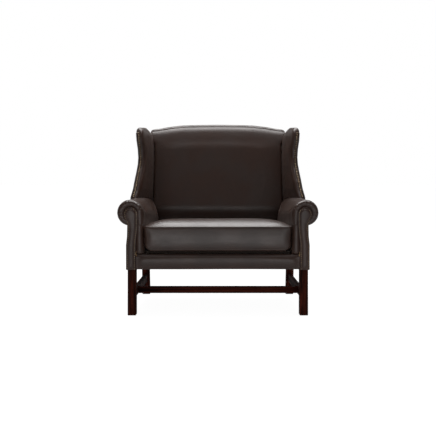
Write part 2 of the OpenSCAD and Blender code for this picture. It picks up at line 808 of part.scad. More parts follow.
// Over the board the pad closes to the wing's outer face and the outside back
wing_cap_shares = [[0, 0, 0], [0.4, 0.2, 0.03], [0.7, 1, 0.12], [0.9, 1.8, 0.4], [1, 2.4, 0.6]];
function wing_cap_ring(z, inset, back) =
    let (x = wing_x(board_top), y = wing_y(board_top), b = board_ring(board_top), n = nail_line(board_top),
         c = crease_y(board_top), rear = mix(back_y(board_top) - inset, y, back))
    [
        [crease_x + inset, rear, z], [crease_x + inset, min(rear, c + leg_s / 2), z],
        [crease_x + inset, min(rear, c), z],
        [mix(crease_x, b[1][0] - wing_pad, 0.35) - wing_pad / 3 + inset, mix(min(rear, c), y, 0.3), z],
        [mix(crease_x, b[1][0] - wing_pad, 0.7) - wing_pad / 4 + inset, mix(min(rear, c), y, 0.6), z],
        [b[1][0] - wing_pad + inset, mix(y, b[1][1], 1.2) + inset, z],
        [b[1][0] - wing_pad * 0.7 + inset, mix(y, b[1][1], 0.5) + inset, z],
        [b[1][0] - wing_pad * 0.1 + inset * 0.5, mix(y, b[1][1], 0.1) + inset, z], [n[0], n[1] + inset, z],
        [x - board_out * 0.5 - inset, mix(y, b[1][1], 0.4) + inset, z],
        [x - inset, b[1][1] + board_t + inset, z],
        [rear_w / 2 + panel_t - inset, rear, z]
    ];

module inside_wing() {
    low = roll_z;
    color(leather_colour) resize([0, 0, 0]) difference() {
        loft(concat(
            [for (z = wing_levels(low, board_top + soft_gap)) wing_inner_ring(z)],
            [for (p = wing_cap_shares)
                wing_cap_ring(mix(board_top + soft_gap * 2, wing_h, p[0]), panel_t * p[1], p[2])]));
        inside_arm_shape();
        wing_foot_cut();
    }
}

// What would hang below the arm's own padding
module wing_foot_cut() {
    side_run() translate([-arm_rail_w / 2 - roll_in, 0, 0]) cube([arm_rail_w, arm_run, arm_rail_top]);
}

function wing_outer_ring(z) =
    let (x = wing_x(z), y = wing_y(z), b = board_ring(z), n = nail_line(z), out = rear_w / 2)
    [
        [n[0] + soft_gap, n[1] + soft_gap, z], [x - board_out * 0.5, mix(y, b[1][1], 0.35), z],
        [x, b[1][1] + board_t * 0.6, z], [mix(x, out + panel_t, 0.5), mix(b[2][1], post_front_y(z), 0.5), z],
        [out + panel_t, post_front_y(z), z], [out + panel_t, back_y(z), z], [out + soft_gap, back_y(z), z],
        [out + soft_gap, post_front_y(z), z], [b[2][0] + soft_gap, b[2][1] - soft_gap, z],
        [n[0] + soft_gap, b[1][1] - soft_gap, z]
    ];

module outside_wing() {
    color(leather_dark) resize([0, 0, 0]) difference() {
        loft([for (z = wing_levels(arm_rail_top, board_top)) wing_outer_ring(z)]);
        inside_arm_shape();
    }
}

module wing_nails() {
    path = [for (z = wing_levels(arm_h + nail_d, board_top)) nail_line(z)];
    color(brass_colour) for (p = spaced(path, nail_pitch, true))
        let (step = nail_d / 2, slope = (wing_y(p[2] + step) - wing_y(p[2] - step)) / nail_d)
        translate(p) rotate([-atan(slope), 0, 0]) nail();
}

// Inside back: its face at a share of its half width, and over the crest
crown_shares = [[0, 1], [0.5, 0.93], [0.8, 0.7], [0.93, 0.35], [1, 0]];
back_face_shares = [0.82, 0.7, 0.55, 0.4, 0.28, 0.16];
cushion_seam_share = 0.86;
seat_seam_z = cushion_foot + cushion_h * cushion_seam_share;
pad_low = strap_top + soft_gap;
function pad_face_y(x, z) =
    let (
        top_y = back_y(crest_h - crest_pad / 2) - crest_pad,
        t = max(0, (z - seat_seam_z) / (crest_h - crest_pad / 2 - seat_seam_z)),
        crown = back_crown * lookup(abs(x) / back_pad_half, crown_shares)
    )
    mix(seat_back_y + back_crown, top_y + back_crown, t) - crown;
function pad_back_y(z) = back_y(z) - (crest_rail_t + web_t) / cos(back_rake) - soft_gap;

function back_ring(x) =
    let (
        top = crest_z(x),
        over_rail = top - crest_over + soft_gap,
        shelf = top - shelf_drop,
        r = crest_pad / 2,
        face = function (s) mix(pad_low, top - r, s)
    )
    [
        [x, pad_back_y(pad_low), pad_low], [x, pad_back_y(over_rail), over_rail],
        [x, back_y(over_rail), over_rail], [x, back_y(shelf), shelf],
        [x, back_y(top) - r * 0.15, top - r * 0.14], [x, back_y(top) - r * 0.45, top - r * 0.02],
        [x, back_y(top) - r * 0.85, top], [x, back_y(top) - r * 1.25, top - r * 0.1],
        [x, mix(back_y(top) - r * 1.55, pad_face_y(x, top - r), 0.3), top - r * 0.3],
        [x, mix(back_y(top) - r * 1.55, pad_face_y(x, top - r), 0.8), top - r * 0.65],
        [x, pad_face_y(x, top - r), top - r],
        each [for (s = back_face_shares) [x, pad_face_y(x, face(s)), face(s)]],
        [x, pad_face_y(x, seat_seam_z), face(0.08)], [x, pad_face_y(x, pad_low), pad_low]
    ];

module inside_back_shape() {
    loft([for (s = back_station_shares) back_ring(s * back_pad_half)]);
}

module inside_back() {
    color(leather_colour) inside_back_shape();
}

// Outside back: a thin panel on the posts' backs
module outside_back() {
    half = rear_w / 2 + panel_t;
    tops = [for (s = back_station_shares) let (x = s * back_pad_half)
        [-x, up_slope(crest_z(x) - shelf_drop)]];
    corner = up_slope(board_top);
    color(leather_dark) raked() along(0, panel_t) polygon(concat(
        [[-half, 0], [half, 0], [half, corner]], tops, [[-half, corner]]));
}

// Cushion: insets as shares of the crown's width, heights as shares of the whole
cushion_dish_share = 0.018;
cushion_profile_shares = [[0.14, 0], [0.035, 0.018], [0, 0.09], [0, 0.12], [0.01, 0.22],
                          [cushion_dish_share, 0.4], [cushion_dish_share, 0.6], [0.01, 0.76],
                          [0, cushion_seam_share], [0.012, 0.9], [0.08, 0.935], [0.25, 0.965], [0.55, 0.99],
                          [1, 1]];
corner_steps = 4;
side_steps = 4;

// A corner's points from one angle to the next
function corner(c, r, from) = [for (i = [0:corner_steps]) let (a = from + 90 * i / corner_steps)
    [c[0] + r * cos(a), c[1] + r * sin(a)]];

// The points between two corners, drawn in towards the middle
function drawn_side(a, b, in) = [for (i = [1:side_steps - 1]) let (t = i / side_steps)
    mix(a, b, t) + in * 4 * t * (1 - t)];

function cushion_ring(inset, z) =
    let (
        y0 = cushion_front_y + inset,
        y1 = cushion_rear_y - inset,
        line = function (y) side_pt(arm_face_x(y - front_y, z), y - front_y)[0],
        a = line(y0) - cushion_side_gap - inset,
        b = line(y1) - cushion_side_gap - inset,
        r = max(cushion_corner_r - inset / 4, cushion_corner_r / 2),
        rr = corner([b - r, y1 - r], r, 0),
        rl = corner([-b + r, y1 - r], r, 90),
        fl = corner([-a + r, y0 + r], r, 180),
        fr = corner([a - r, y0 + r], r, 270),
        last = corner_steps,
        half = last / 2,
        flat = concat([for (i = [half:last]) rr[i]], drawn_side(rr[last], rl[0], [0, 0]),
                      rl, drawn_side(rl[last], fl[0], [cushion_draw, 0]),
                      fl, drawn_side(fl[last], fr[0], [0, cushion_draw / 2]),
                      fr, drawn_side(fr[last], rr[0], [-cushion_draw, 0]), [for (i = [0:half - 1]) rr[i]])
    )
    [for (p = flat) [p[0], p[1], z]];

module cushion_shape(wall) {
    low = cushion_foot + wall;
    high = cushion_foot + cushion_h - wall;
    loft([for (p = cushion_profile_shares)
        cushion_ring(cushion_crown_in * p[0] + wall, mix(low, high, p[1]))]);
}

module cushion_cover() {
    color(leather_colour) difference() {
        cushion_shape(0);
        cushion_shape(cover_t);
    }
}

module cushion_foam() {
    color(foam_colour) cushion_shape(cover_t + soft_gap);
}

// Zip along the middle of the cushion's rear border, and its slider
zip_l = 2 * (back_pad_half - zip_in);
zip_y = cushion_rear_y - cushion_crown_in * cushion_dish_share;
zip_z = mix(cushion_foot, cushion_foot + cushion_h, 0.5);

module cushion_zip() {
    color(cloth_colour) translate([-zip_l / 2, zip_y, zip_z - zip_h / 2]) cube([zip_l, zip_t, zip_h]);
}

module zip_slider() {
    color(brass_colour) translate([-zip_l / 2, zip_y + zip_t + soft_gap, zip_z - slider_h / 2])
        cube([slider_l, slider_t, slider_h]);
}

left() front_leg();  // front_leg_left
front_leg();  // front_leg_right
left() rear_leg();  // rear_leg_left
rear_leg();  // rear_leg_right
left() side_stretcher();  // side_stretcher_left
side_stretcher();  // side_stretcher_right
cross_stretcher();
front_rail();
back_rail();
left() side_rail();  // side_rail_left
side_rail();  // side_rail_right
corner_blocks();
corner_screws();
left() arm_post();  // arm_post_left
arm_post();  // arm_post_right
left() arm_top_rail();  // arm_top_rail_left
arm_top_rail();  // arm_top_rail_right
left() arm_tack_rail();  // arm_tack_rail_left
arm_tack_rail();  // arm_tack_rail_right
left() back_post();  // back_post_left
back_post();  // back_post_right
crest_rail();
back_tack_rail();
left() wing_board();  // wing_board_left
wing_board();  // wing_board_right
seat_webbing_long();
seat_webbing_cross();
back_webbing();
seat_deck();
front_rail_cover();
bottom_cloth();
left() inside_arm();  // inside_arm_left
inside_arm();  // inside_arm_right
left() outside_arm();  // outside_arm_left
outside_arm();  // outside_arm_right
left() facing();  // facing_left
facing();  // facing_right
left() inside_wing();  // inside_wing_left
inside_wing();  // inside_wing_right
left() outside_wing();  // outside_wing_left
outside_wing();  // outside_wing_right
inside_back();
outside_back();
left() facing_nails();  // facing_nails_left
facing_nails();  // facing_nails_right
left() wing_nails();  // wing_nails_left
wing_nails();  // wing_nails_right
cushion_cover();
cushion_foam();
cushion_zip();
zip_slider();
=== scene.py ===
"""Chair and a half in dark brown leather: upholstery, timber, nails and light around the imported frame."""

import json
import math

import bmesh
import bpy
import numpy as np
from mathutils import Matrix, Vector, noise

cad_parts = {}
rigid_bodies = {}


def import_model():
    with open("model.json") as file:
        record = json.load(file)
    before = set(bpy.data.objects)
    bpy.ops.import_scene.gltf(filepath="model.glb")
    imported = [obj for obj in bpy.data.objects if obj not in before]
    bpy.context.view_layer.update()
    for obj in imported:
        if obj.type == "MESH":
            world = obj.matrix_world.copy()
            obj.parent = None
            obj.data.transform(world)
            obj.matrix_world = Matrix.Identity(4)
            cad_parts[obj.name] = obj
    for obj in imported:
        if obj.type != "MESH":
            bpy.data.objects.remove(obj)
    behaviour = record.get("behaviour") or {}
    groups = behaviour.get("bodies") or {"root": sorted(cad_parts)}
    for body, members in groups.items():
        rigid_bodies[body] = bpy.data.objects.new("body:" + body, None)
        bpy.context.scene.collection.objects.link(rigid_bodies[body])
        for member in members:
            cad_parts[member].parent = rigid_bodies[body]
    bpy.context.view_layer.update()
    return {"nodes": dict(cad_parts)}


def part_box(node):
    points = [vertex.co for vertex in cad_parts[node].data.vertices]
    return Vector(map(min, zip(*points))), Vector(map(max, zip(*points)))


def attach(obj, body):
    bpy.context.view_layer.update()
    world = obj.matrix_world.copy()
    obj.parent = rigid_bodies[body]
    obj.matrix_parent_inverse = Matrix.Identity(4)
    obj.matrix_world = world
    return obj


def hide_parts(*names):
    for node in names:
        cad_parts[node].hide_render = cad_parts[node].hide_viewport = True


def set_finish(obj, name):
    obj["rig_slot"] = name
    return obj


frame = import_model()
scene = bpy.context.scene
scene.view_settings.view_transform = "Standard"

LEG_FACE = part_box("front_leg_right")[0].y
CAMERA_FROM_LEGS = 4.0
CUSHION_LOW, CUSHION_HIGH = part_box("cushion_cover")
SEAM_SHARES = (0.86, 0.105)  # how high the cushion's two seams lie
SCROLL = Vector((0.4819, 0, 0.564))  # middle of the right arm's roll, at its front
ROLL_RADIUS = 0.068
ARM_FRONT_X = 0.496  # where the splayed front of the right arm meets the legs' front face
SPLAY = math.atan(0.016 / 0.59)
SIDES = ("left", "right")
MERGE = 1e-5
SWELL_FRAMES = 20
WORLD_LIGHT = 0.42  # what the white room gives, as a share of what the camera sees of it


# ---------------------------------------------------------------- the camera


def set_camera():
    """Straight on, four metres before the legs, as the photograph was taken."""
    lens = bpy.data.cameras.new("camera")
    lens.sensor_width = 36
    lens.lens = 60.11
    lens.shift_x = 0.00034
    lens.shift_y = -0.133
    lens.clip_end = 60
    camera = bpy.data.objects.new("camera", lens)
    camera.location = (0, LEG_FACE - CAMERA_FROM_LEGS, 0.8547)
    camera.rotation_euler = (math.radians(90), 0, 0)
    scene.collection.objects.link(camera)
    scene.camera = camera


# ------------------------------------------------------- bench work on meshes


def frame_copy(node):
    """A copy of a frame part with its loose triangles joined."""
    bm = bmesh.new()
    bm.from_mesh(frame["nodes"][node].data)
    bmesh.ops.remove_doubles(bm, verts=bm.verts, dist=MERGE)
    return bm


def to_mesh(name, bm):
    """Ends a bmesh as a plain mesh."""
    mesh = bpy.data.meshes.new(name)
    bm.to_mesh(mesh)
    bm.free()
    return mesh


def everything(bm):
    return bm.verts[:] + bm.edges[:] + bm.faces[:]


def sawn_off(timber, low, high, inside=0.002):
    """A timber's mesh, cut just inside the sides and the foot of its cover."""
    bm = frame_copy(timber)
    for corner, way in ((high, (1, 0, 0)), (low, (-1, 0, 0)), (low, (0, 0, -1))):
        out = Vector(way)
        cut_at = Vector(corner) - out * inside
        bmesh.ops.bisect_plane(bm, geom=everything(bm), plane_co=cut_at, plane_no=out, clear_outer=True)
        bmesh.ops.holes_fill(bm, edges=[e for e in bm.edges if e.is_boundary])
    return to_mesh(timber + "_sawn", bm)


def cover_and_timber(node, timbers):
    """A cover's copy, filled with the timbers that it is stretched over."""
    bm = frame_copy(node)
    for timber in timbers:
        mesh = sawn_off(timber, *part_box(node))
        bm.from_mesh(mesh)
        bpy.data.meshes.remove(mesh)
    bmesh.ops.remove_doubles(bm, verts=bm.verts, dist=MERGE)
    return bm


def islands(bm):
    """The separate lumps of a mesh, each as a list of its vertices."""
    seen, lumps = set(), []
    for start in bm.verts:
        if start in seen:
            continue
        seen.add(start)
        lump, edge = [], [start]
        while edge:
            v = edge.pop()
            lump.append(v)
            for e in v.link_edges:
                w = e.other_vert(v)
                if w not in seen:
                    seen.add(w)
                    edge.append(w)
        lumps.append(lump)
    return lumps


def outer_skin(bm):
    """Keeps the widest lump only: the outside of a hollow cover."""
    lumps = sorted(islands(bm), key=len)
    widths = [max(v.co.x for v in lump) - min(v.co.x for v in lump) for lump in lumps]
    keep = lumps[int(np.argmax(widths))]
    inner = [v for lump in lumps if lump is not keep for v in lump]
    bmesh.ops.delete(bm, geom=inner, context="VERTS")
    return bm


def to_object(name, bm, material, body="frame", slot="leather", smooth=True):
    """Makes the finished bmesh a piece that rides with a body."""
    for face in bm.faces:
        face.smooth = smooth
    mesh = to_mesh(name, bm)
    piece = bpy.data.objects.new(name, mesh)
    scene.collection.objects.link(piece)
    if material:
        mesh.materials.append(material)
    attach(piece, body)
    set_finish(piece, slot)
    return piece


def settle(piece):
    """Applies a piece's modifiers to its mesh."""
    bpy.context.view_layer.update()
    graph = bpy.context.evaluated_depsgraph_get()
    mesh = bpy.data.meshes.new_from_object(piece.evaluated_get(graph))
    piece.modifiers.clear()
    old = piece.data
    piece.data = mesh
    bpy.data.meshes.remove(old)
    mesh.polygons.foreach_set("use_smooth", np.ones(len(mesh.polygons), bool))


def points(piece):
    co = np.empty(len(piece.data.vertices) * 3)
    piece.data.vertices.foreach_get("co", co)
    return co.reshape(-1, 3)


def normals(piece):
    n = np.empty(len(piece.data.vertices) * 3)
    piece.data.vertex_normals.foreach_get("vector", n)
    return n.reshape(-1, 3)


def set_points(piece, co):
    piece.data.vertices.foreach_set("co", np.asarray(co, float).ravel())
    piece.data.update()


def smoothstep(a, b, x):
    t = np.clip((np.asarray(x, float) - a) / (b - a), 0, 1)
    return t * t * (3 - 2 * t)


def reskin(piece, voxel, rounds):
    """An even skin over the form, its creases eased."""
    remesh = piece.modifiers.new("skin", "REMESH")
    remesh.mode = "VOXEL"
    remesh.voxel_size = voxel
    settle(piece)
    ease = piece.modifiers.new("ease", "SMOOTH")
    ease.factor = 0.5
    ease.iterations = rounds
    settle(piece)


def fit(piece, low, high):
    """Brings the skin back out to the box that its easing drew it in from."""
    co = points(piece)
    a, b = co.min(0), co.max(0)
    low, high = np.array(low), np.array(high)
    set_points(piece, low + (co - a) * (high - low) / (b - a))


def refine(piece):
    """Finer faces, rounded between the old ones."""
    rounder = piece.modifiers.new("refine", "SUBSURF")
    rounder.levels = rounder.render_levels = 1
    settle(piece)


def fill_out(piece, free, cap):
    """Blows the skin up as cloth over its stuffing. free is 0 where a point stays and 1 where it may move."""
    start = points(piece)
    trial = bpy.data.objects.new("trial", piece.data.copy())
    scene.collection.objects.link(trial)
    held = trial.vertex_groups.new(name="held")
    for i in np.flatnonzero(free < 0.05):
        held.add([int(i)], 1.0, "REPLACE")
    cloth = trial.modifiers.new("cloth", "CLOTH")
    rules = cloth.settings
    rules.quality = 4
    rules.mass = 0.3
    rules.tension_stiffness = rules.compression_stiffness = 12
    rules.shear_stiffness = 6
    rules.bending_stiffness = 0.8
    rules.use_pressure = True
    rules.uniform_pressure_force = 4.0
    rules.effector_weights.gravity = 0
    rules.vertex_group_mass = "held"
    cloth.collision_settings.use_collision = False
    cloth.point_cache.frame_start = 1
    cloth.point_cache.frame_end = SWELL_FRAMES
    for number in range(1, SWELL_FRAMES + 1):
        scene.frame_set(number)
    graph = bpy.context.evaluated_depsgraph_get()
    blown = np.empty(len(start) * 3)
    trial.evaluated_get(graph).data.vertices.foreach_get("co", blown)
    moved = blown.reshape(-1, 3) - start
    scene.frame_set(1)
    bpy.data.objects.remove(trial)
    far = np.linalg.norm(moved, axis=1)
    moved *= (np.minimum(far, cap) / np.maximum(far, 1e-9))[:, None]
    set_points(piece, start + moved * free[:, None])


def ripple(piece, size, depth, seed):
    """Slow unevenness of hide over stuffing."""
    co, n = points(piece), normals(piece)
    shift = Vector((seed * 7.1, seed * 3.7, seed * 1.3))
    lift = np.array([noise.noise(Vector(p) / size + shift) for p in co])
    set_points(piece, co + n * (lift * depth)[:, None])


def mark_edges(piece):
    """Paints how far each point stands proud, which wears and polishes first."""
    bm = bmesh.new()
    bm.from_mesh(piece.data)
    layer = bm.verts.layers.float.new("proud")
    for v in bm.verts:
        falls = [(e.other_vert(v).co - v.co).normalized().dot(v.normal) for e in v.link_edges]
        v[layer] = max(0.0, min(1.0, -4.0 * sum(falls) / max(1, len(falls))))
    bm.to_mesh(piece.data)
    bm.free()


def other_side(piece, name):
    """The same piece for the left side of the chair."""
    bm = bmesh.new()
    bm.from_mesh(piece.data)
    bmesh.ops.scale(bm, vec=(-1, 1, 1), verts=bm.verts)
    bmesh.ops.reverse_faces(bm, faces=bm.faces)
    twin = to_object(name, bm, None, piece.parent.name.split(":")[1], piece["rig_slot"])
    for m in piece.data.materials:
        twin.data.materials.append(m)
    return twin


# ------------------------------------------------------------------- finishes


def tree_of(material):
    material.use_nodes = True
    return material.node_tree


def add(tree, kind, **values):
    """A shader node with its settings, and its inputs by name."""
    node = tree.nodes.new("ShaderNode" + kind)
    for key, value in values.items():
        if hasattr(node, key):
            setattr(node, key, value)
        else:
            node.inputs[key.replace("_", " ")].default_value = value
    return node


def group(name, inputs, outputs):
    """An empty effect with named inputs and outputs."""
    tree = bpy.data.node_groups.new(name, "ShaderNodeTree")
    for label, kind, value in inputs:
        socket = tree.interface.new_socket(name=label, in_out="INPUT", socket_type="NodeSocket" + kind)
        socket.default_value = value
    for label, kind in outputs:
        tree.interface.new_socket(name=label, in_out="OUTPUT", socket_type="NodeSocket" + kind)
    return tree, tree.nodes.new("NodeGroupInput"), tree.nodes.new("NodeGroupOutput")


def mix_colours(tree, factor, a, b, blend="MIX"):
    """Mixes two colours, each a socket or a plain value."""
    node = tree.nodes.new("ShaderNodeMix")
    node.data_type = "RGBA"
    node.blend_type = blend
    for socket, value in ((node.inputs[0], factor), (node.inputs[6], a), (node.inputs[7], b)):
        if hasattr(value, "links"):
            tree.links.new(value, socket)
        else:
            socket.default_value = value
    return node.outputs[2]


def sums(tree, operation, a, b=0.5, clamp=False):
    node = tree.nodes.new("ShaderNodeMath")
    node.operation = operation
    node.use_clamp = clamp
    for socket, value in zip(node.inputs, (a, b)):
        if hasattr(value, "links"):
            tree.links.new(value, socket)
        else:
            socket.default_value = value
    return node.outputs[0]


def spread(tree, value, low, high, out_low=0.0, out_high=1.0):
    node = tree.nodes.new("ShaderNodeMapRange")
    node.interpolation_type = "SMOOTHSTEP"
    tree.links.new(value, node.inputs[0])
    for i, number in enumerate((low, high, out_low, out_high)):
        node.inputs[1 + i].default_value = number
    return node.outputs[0]


def hide_grain_group():
    """Fine pebbled grain: small cells with creases between them, and slow mottling of the dye."""
    tree, given, out = group(
        "hide_grain",
        [("Cell size", "Float", 0.0016)],
        [("Height", "Float"), ("Mottle", "Float"), ("Crease", "Float")],
    )
    at = add(tree, "TexCoord").outputs["Object"]
    warp = add(tree, "TexNoise", Scale=90.0, Detail=2.0)
    tree.links.new(at, warp.inputs["Vector"])
    moved = add(tree, "VectorMath", operation="MULTIPLY_ADD")
    tree.links.new(warp.outputs["Color"], moved.inputs[0])
    moved.inputs[1].default_value = (0.002, 0.002, 0.002)
    tree.links.new(at, moved.inputs[2])
    cells = add(tree, "TexVoronoi", feature="DISTANCE_TO_EDGE")
    scale = sums(tree, "DIVIDE", 1.0, given.outputs["Cell size"])
    tree.links.new(moved.outputs[0], cells.inputs["Vector"])
    tree.links.new(scale, cells.inputs["Scale"])
    pebble = spread(tree, cells.outputs["Distance"], 0.0, 0.22)
    fine = add(tree, "TexNoise", Scale=900.0, Detail=3.0)
    tree.links.new(at, fine.inputs["Vector"])
    height = sums(tree, "ADD", pebble, sums(tree, "MULTIPLY", fine.outputs["Fac"], 0.35))
    slow = add(tree, "TexNoise", Scale=7.0, Detail=4.0, Roughness=0.6)
    tree.links.new(at, slow.inputs["Vector"])
    tree.links.new(height, out.inputs["Height"])
    tree.links.new(spread(tree, slow.outputs["Fac"], 0.3, 0.7), out.inputs["Mottle"])
    # Crease marks the grain's creases, which the leather darkens as painted shade.
    tree.links.new(sums(tree, "SUBTRACT", 1.0, pebble), out.inputs["Crease"])
    return tree


def edge_wear_group():
    """Where a proud edge has been rubbed, broken up so that it is never a clean line."""
    tree, given, out = group("edge_wear", [("Reach", "Float", 0.5)], [("Worn", "Float")])
    proud = add(tree, "Attribute", attribute_name="proud").outputs["Fac"]
    patch = add(tree, "TexNoise", Scale=26.0, Detail=5.0, Roughness=0.65)
    tree.links.new(add(tree, "TexCoord").outputs["Object"], patch.inputs["Vector"])
    worn = sums(tree, "MULTIPLY", proud, spread(tree, patch.outputs["Fac"], 0.35, 0.65, 0.3, 1.0))
    tree.links.new(sums(tree, "MULTIPLY", worn, given.outputs["Reach"], clamp=True), out.inputs["Worn"])
    return tree


def timber_group():
    """Long grain with pores and darker bands. Along says which axis the grain runs, as a scale."""
    tree, given, out = group(
        "timber_grain",
        [("Along", "Vector", (60.0, 60.0, 3.0))],
        [("Band", "Float"), ("Pore", "Float"), ("Height", "Float")],
    )
    at = add(tree, "TexCoord").outputs["Object"]
    run = add(tree, "VectorMath", operation="MULTIPLY")
    tree.links.new(at, run.inputs[0])
    tree.links.new(given.outputs["Along"], run.inputs[1])
    bend = add(tree, "TexNoise", Scale=0.6, Detail=2.0)
    tree.links.new(run.outputs[0], bend.inputs["Vector"])
    band = add(tree, "TexNoise", Scale=1.0, Detail=5.0, Roughness=0.62, Distortion=0.8)
    tree.links.new(run.outputs[0], band.inputs["Vector"])
    pores = add(tree, "TexNoise", Scale=9.0, Detail=2.0, Roughness=0.5)
    tree.links.new(run.outputs[0], pores.inputs["Vector"])
    pore = spread(tree, pores.outputs["Fac"], 0.58, 0.68)
    both = sums(tree, "MULTIPLY", band.outputs["Fac"], sums(tree, "ADD", bend.outputs["Fac"], 0.5))
    tree.links.new(spread(tree, both, 0.32, 0.68), out.inputs["Band"])
    tree.links.new(pore, out.inputs["Pore"])
    tree.links.new(sums(tree, "SUBTRACT", both, sums(tree, "MULTIPLY", pore, 0.6)), out.inputs["Height"])
    return tree


def weave_group():
    """Plain weave: over and under threads along two axes of the piece."""
    tree, given, out = group(
        "plain_weave",
        [("Thread", "Float", 0.0016)],
        [("Height", "Float"), ("Thread tone", "Float")],
    )
    at = add(tree, "SeparateXYZ")
    tree.links.new(add(tree, "TexCoord").outputs["Object"], at.inputs[0])
    rate = sums(tree, "DIVIDE", math.pi, given.outputs["Thread"])
    one = sums(tree, "SINE", sums(tree, "MULTIPLY", sums(tree, "ADD", at.outputs[0], at.outputs[2]), rate))
    two = sums(tree, "SINE", sums(tree, "MULTIPLY", sums(tree, "SUBTRACT", at.outputs[1], at.outputs[2]), rate))
    over = sums(tree, "MULTIPLY", one, two)
    height = sums(tree, "ADD", sums(tree, "MULTIPLY", over, 0.5), 0.5)
    fluff = add(tree, "TexNoise", Scale=500.0, Detail=2.0)
    tree.links.new(add(tree, "TexCoord").outputs["Object"], fluff.inputs["Vector"])
    tree.links.new(height, out.inputs["Height"])
    tone = sums(tree, "MULTIPLY", height, sums(tree, "ADD", fluff.outputs["Fac"], 0.4), clamp=True)
    tree.links.new(tone, out.inputs["Thread tone"])
    return tree


def place(tree, effect, **values):
    """Puts an effect in a material with its own values."""
    node = tree.nodes.new("ShaderNodeGroup")
    node.node_tree = effect
    for key, value in values.items():
        node.inputs[key.replace("_", " ")].default_value = value
    return node


def raise_by(tree, height, distance, strength, shader):
    """Lets a height stand out as a bump of a finish."""
    node = add(tree, "Bump", Strength=strength, Distance=distance)
    tree.links.new(height, node.inputs["Height"])
    tree.links.new(node.outputs["Normal"], shader.inputs["Normal"])


def surface(name, **values):
    """A new finish and its main shader."""
    material = bpy.data.materials.new(name)
    tree = tree_of(material)
    shader = tree.nodes["Principled BSDF"]
    for key, value in values.items():
        shader.inputs[key.replace("_", " ")].default_value = value
    return material, tree, shader


def leather(name, deep, warm, worn, rough, shine):
    """Aniline leather: darker in the grain's creases as painted shade, warmer in patches, paler and smoother where
    rubbed.
    """
    material, tree, shader = surface(
        name, Specular_IOR_Level=shine, IOR=1.5, Sheen_Weight=0.04, Sheen_Roughness=0.3, Sheen_Tint=SHEEN
    )
    grain = place(tree, effects["hide_grain"], Cell_size=0.0016)
    wear = place(tree, effects["edge_wear"], Reach=0.55)
    dye = mix_colours(tree, grain.outputs["Mottle"], deep, warm)
    # Darkens the grain's creases towards a near-black brown: painted shade.
    dye = mix_colours(tree, sums(tree, "MULTIPLY", grain.outputs["Crease"], 0.3), dye, CREASE_PAINTED_SHADE)
    dye = mix_colours(tree, wear.outputs["Worn"], dye, worn)
    tree.links.new(dye, shader.inputs["Base Color"])
    gloss = spread(tree, grain.outputs["Mottle"], 0.0, 1.0, rough + 0.04, rough - 0.04)
    gloss = sums(tree, "SUBTRACT", gloss, sums(tree, "MULTIPLY", wear.outputs["Worn"], 0.1))
    tree.links.new(gloss, shader.inputs["Roughness"])
    raise_by(tree, grain.outputs["Height"], 0.00015, 0.4, shader)
    return material


def timber(name, pale, dark, along, rough, level):
    """Timber with its grain along one axis, darker in its bands and pores."""
    material, tree, shader = surface(name, Specular_IOR_Level=level)
    grain = place(tree, effects["timber_grain"], Along=along)
    tone = mix_colours(tree, grain.outputs["Band"], pale, dark)
    tone = mix_colours(tree, sums(tree, "MULTIPLY", grain.outputs["Pore"], 0.6), tone, dark)
    tree.links.new(tone, shader.inputs["Base Color"])
    tree.links.new(spread(tree, grain.outputs["Band"], 0.0, 1.0, rough, rough + 0.12), shader.inputs["Roughness"])
    raise_by(tree, grain.outputs["Height"], 0.0002, 0.5, shader)
    return material


def woven(name, pale, dark, thread):
    """Plain cloth or webbing of one thread."""
    material, tree, shader = surface(name, Specular_IOR_Level=0.2, Sheen_Weight=0.15)
    weave = place(tree, effects["plain_weave"], Thread=thread)
    tree.links.new(mix_colours(tree, weave.outputs["Thread tone"], dark, pale), shader.inputs["Base Color"])
    tree.links.new(spread(tree, weave.outputs["Height"], 0.0, 1.0, 0.85, 0.75), shader.inputs["Roughness"])
    raise_by(tree, weave.outputs["Height"], 0.0004, 0.8, shader)
    return material


def metal(name, bright, tarnish, rough):
    """Cast or pressed metal, darker where tarnish has gathered."""
    material, tree, shader = surface(name, Metallic=1.0)
    spots = add(tree, "TexNoise", Scale=260.0, Detail=4.0, Roughness=0.6)
    tree.links.new(add(tree, "TexCoord").outputs["Object"], spots.inputs["Vector"])
    mask = spread(tree, spots.outputs["Fac"], 0.4, 0.62)
    tree.links.new(mix_colours(tree, mask, bright, tarnish), shader.inputs["Base Color"])
    tree.links.new(spread(tree, spots.outputs["Fac"], 0.3, 0.7, rough, rough + 0.2), shader.inputs["Roughness"])
    raise_by(tree, spots.outputs["Fac"], 0.0001, 0.4, shader)
    return material


def foam_finish():
    """Open-celled cushion foam."""
    material, tree, shader = surface("foam", Specular_IOR_Level=0.1)
    cells = add(tree, "TexVoronoi", Scale=700.0)
    tree.links.new(add(tree, "TexCoord").outputs["Object"], cells.inputs["Vector"])
    far = cells.outputs["Distance"]
    pale, deep = (0.72, 0.62, 0.4, 1), (0.55, 0.45, 0.25, 1)
    tree.links.new(mix_colours(tree, far, deep, pale), shader.inputs["Base Color"])
    tree.links.new(spread(tree, far, 0.0, 1.0, 0.95, 0.8), shader.inputs["Roughness"])
    raise_by(tree, far, 0.0006, 0.7, shader)
    return material


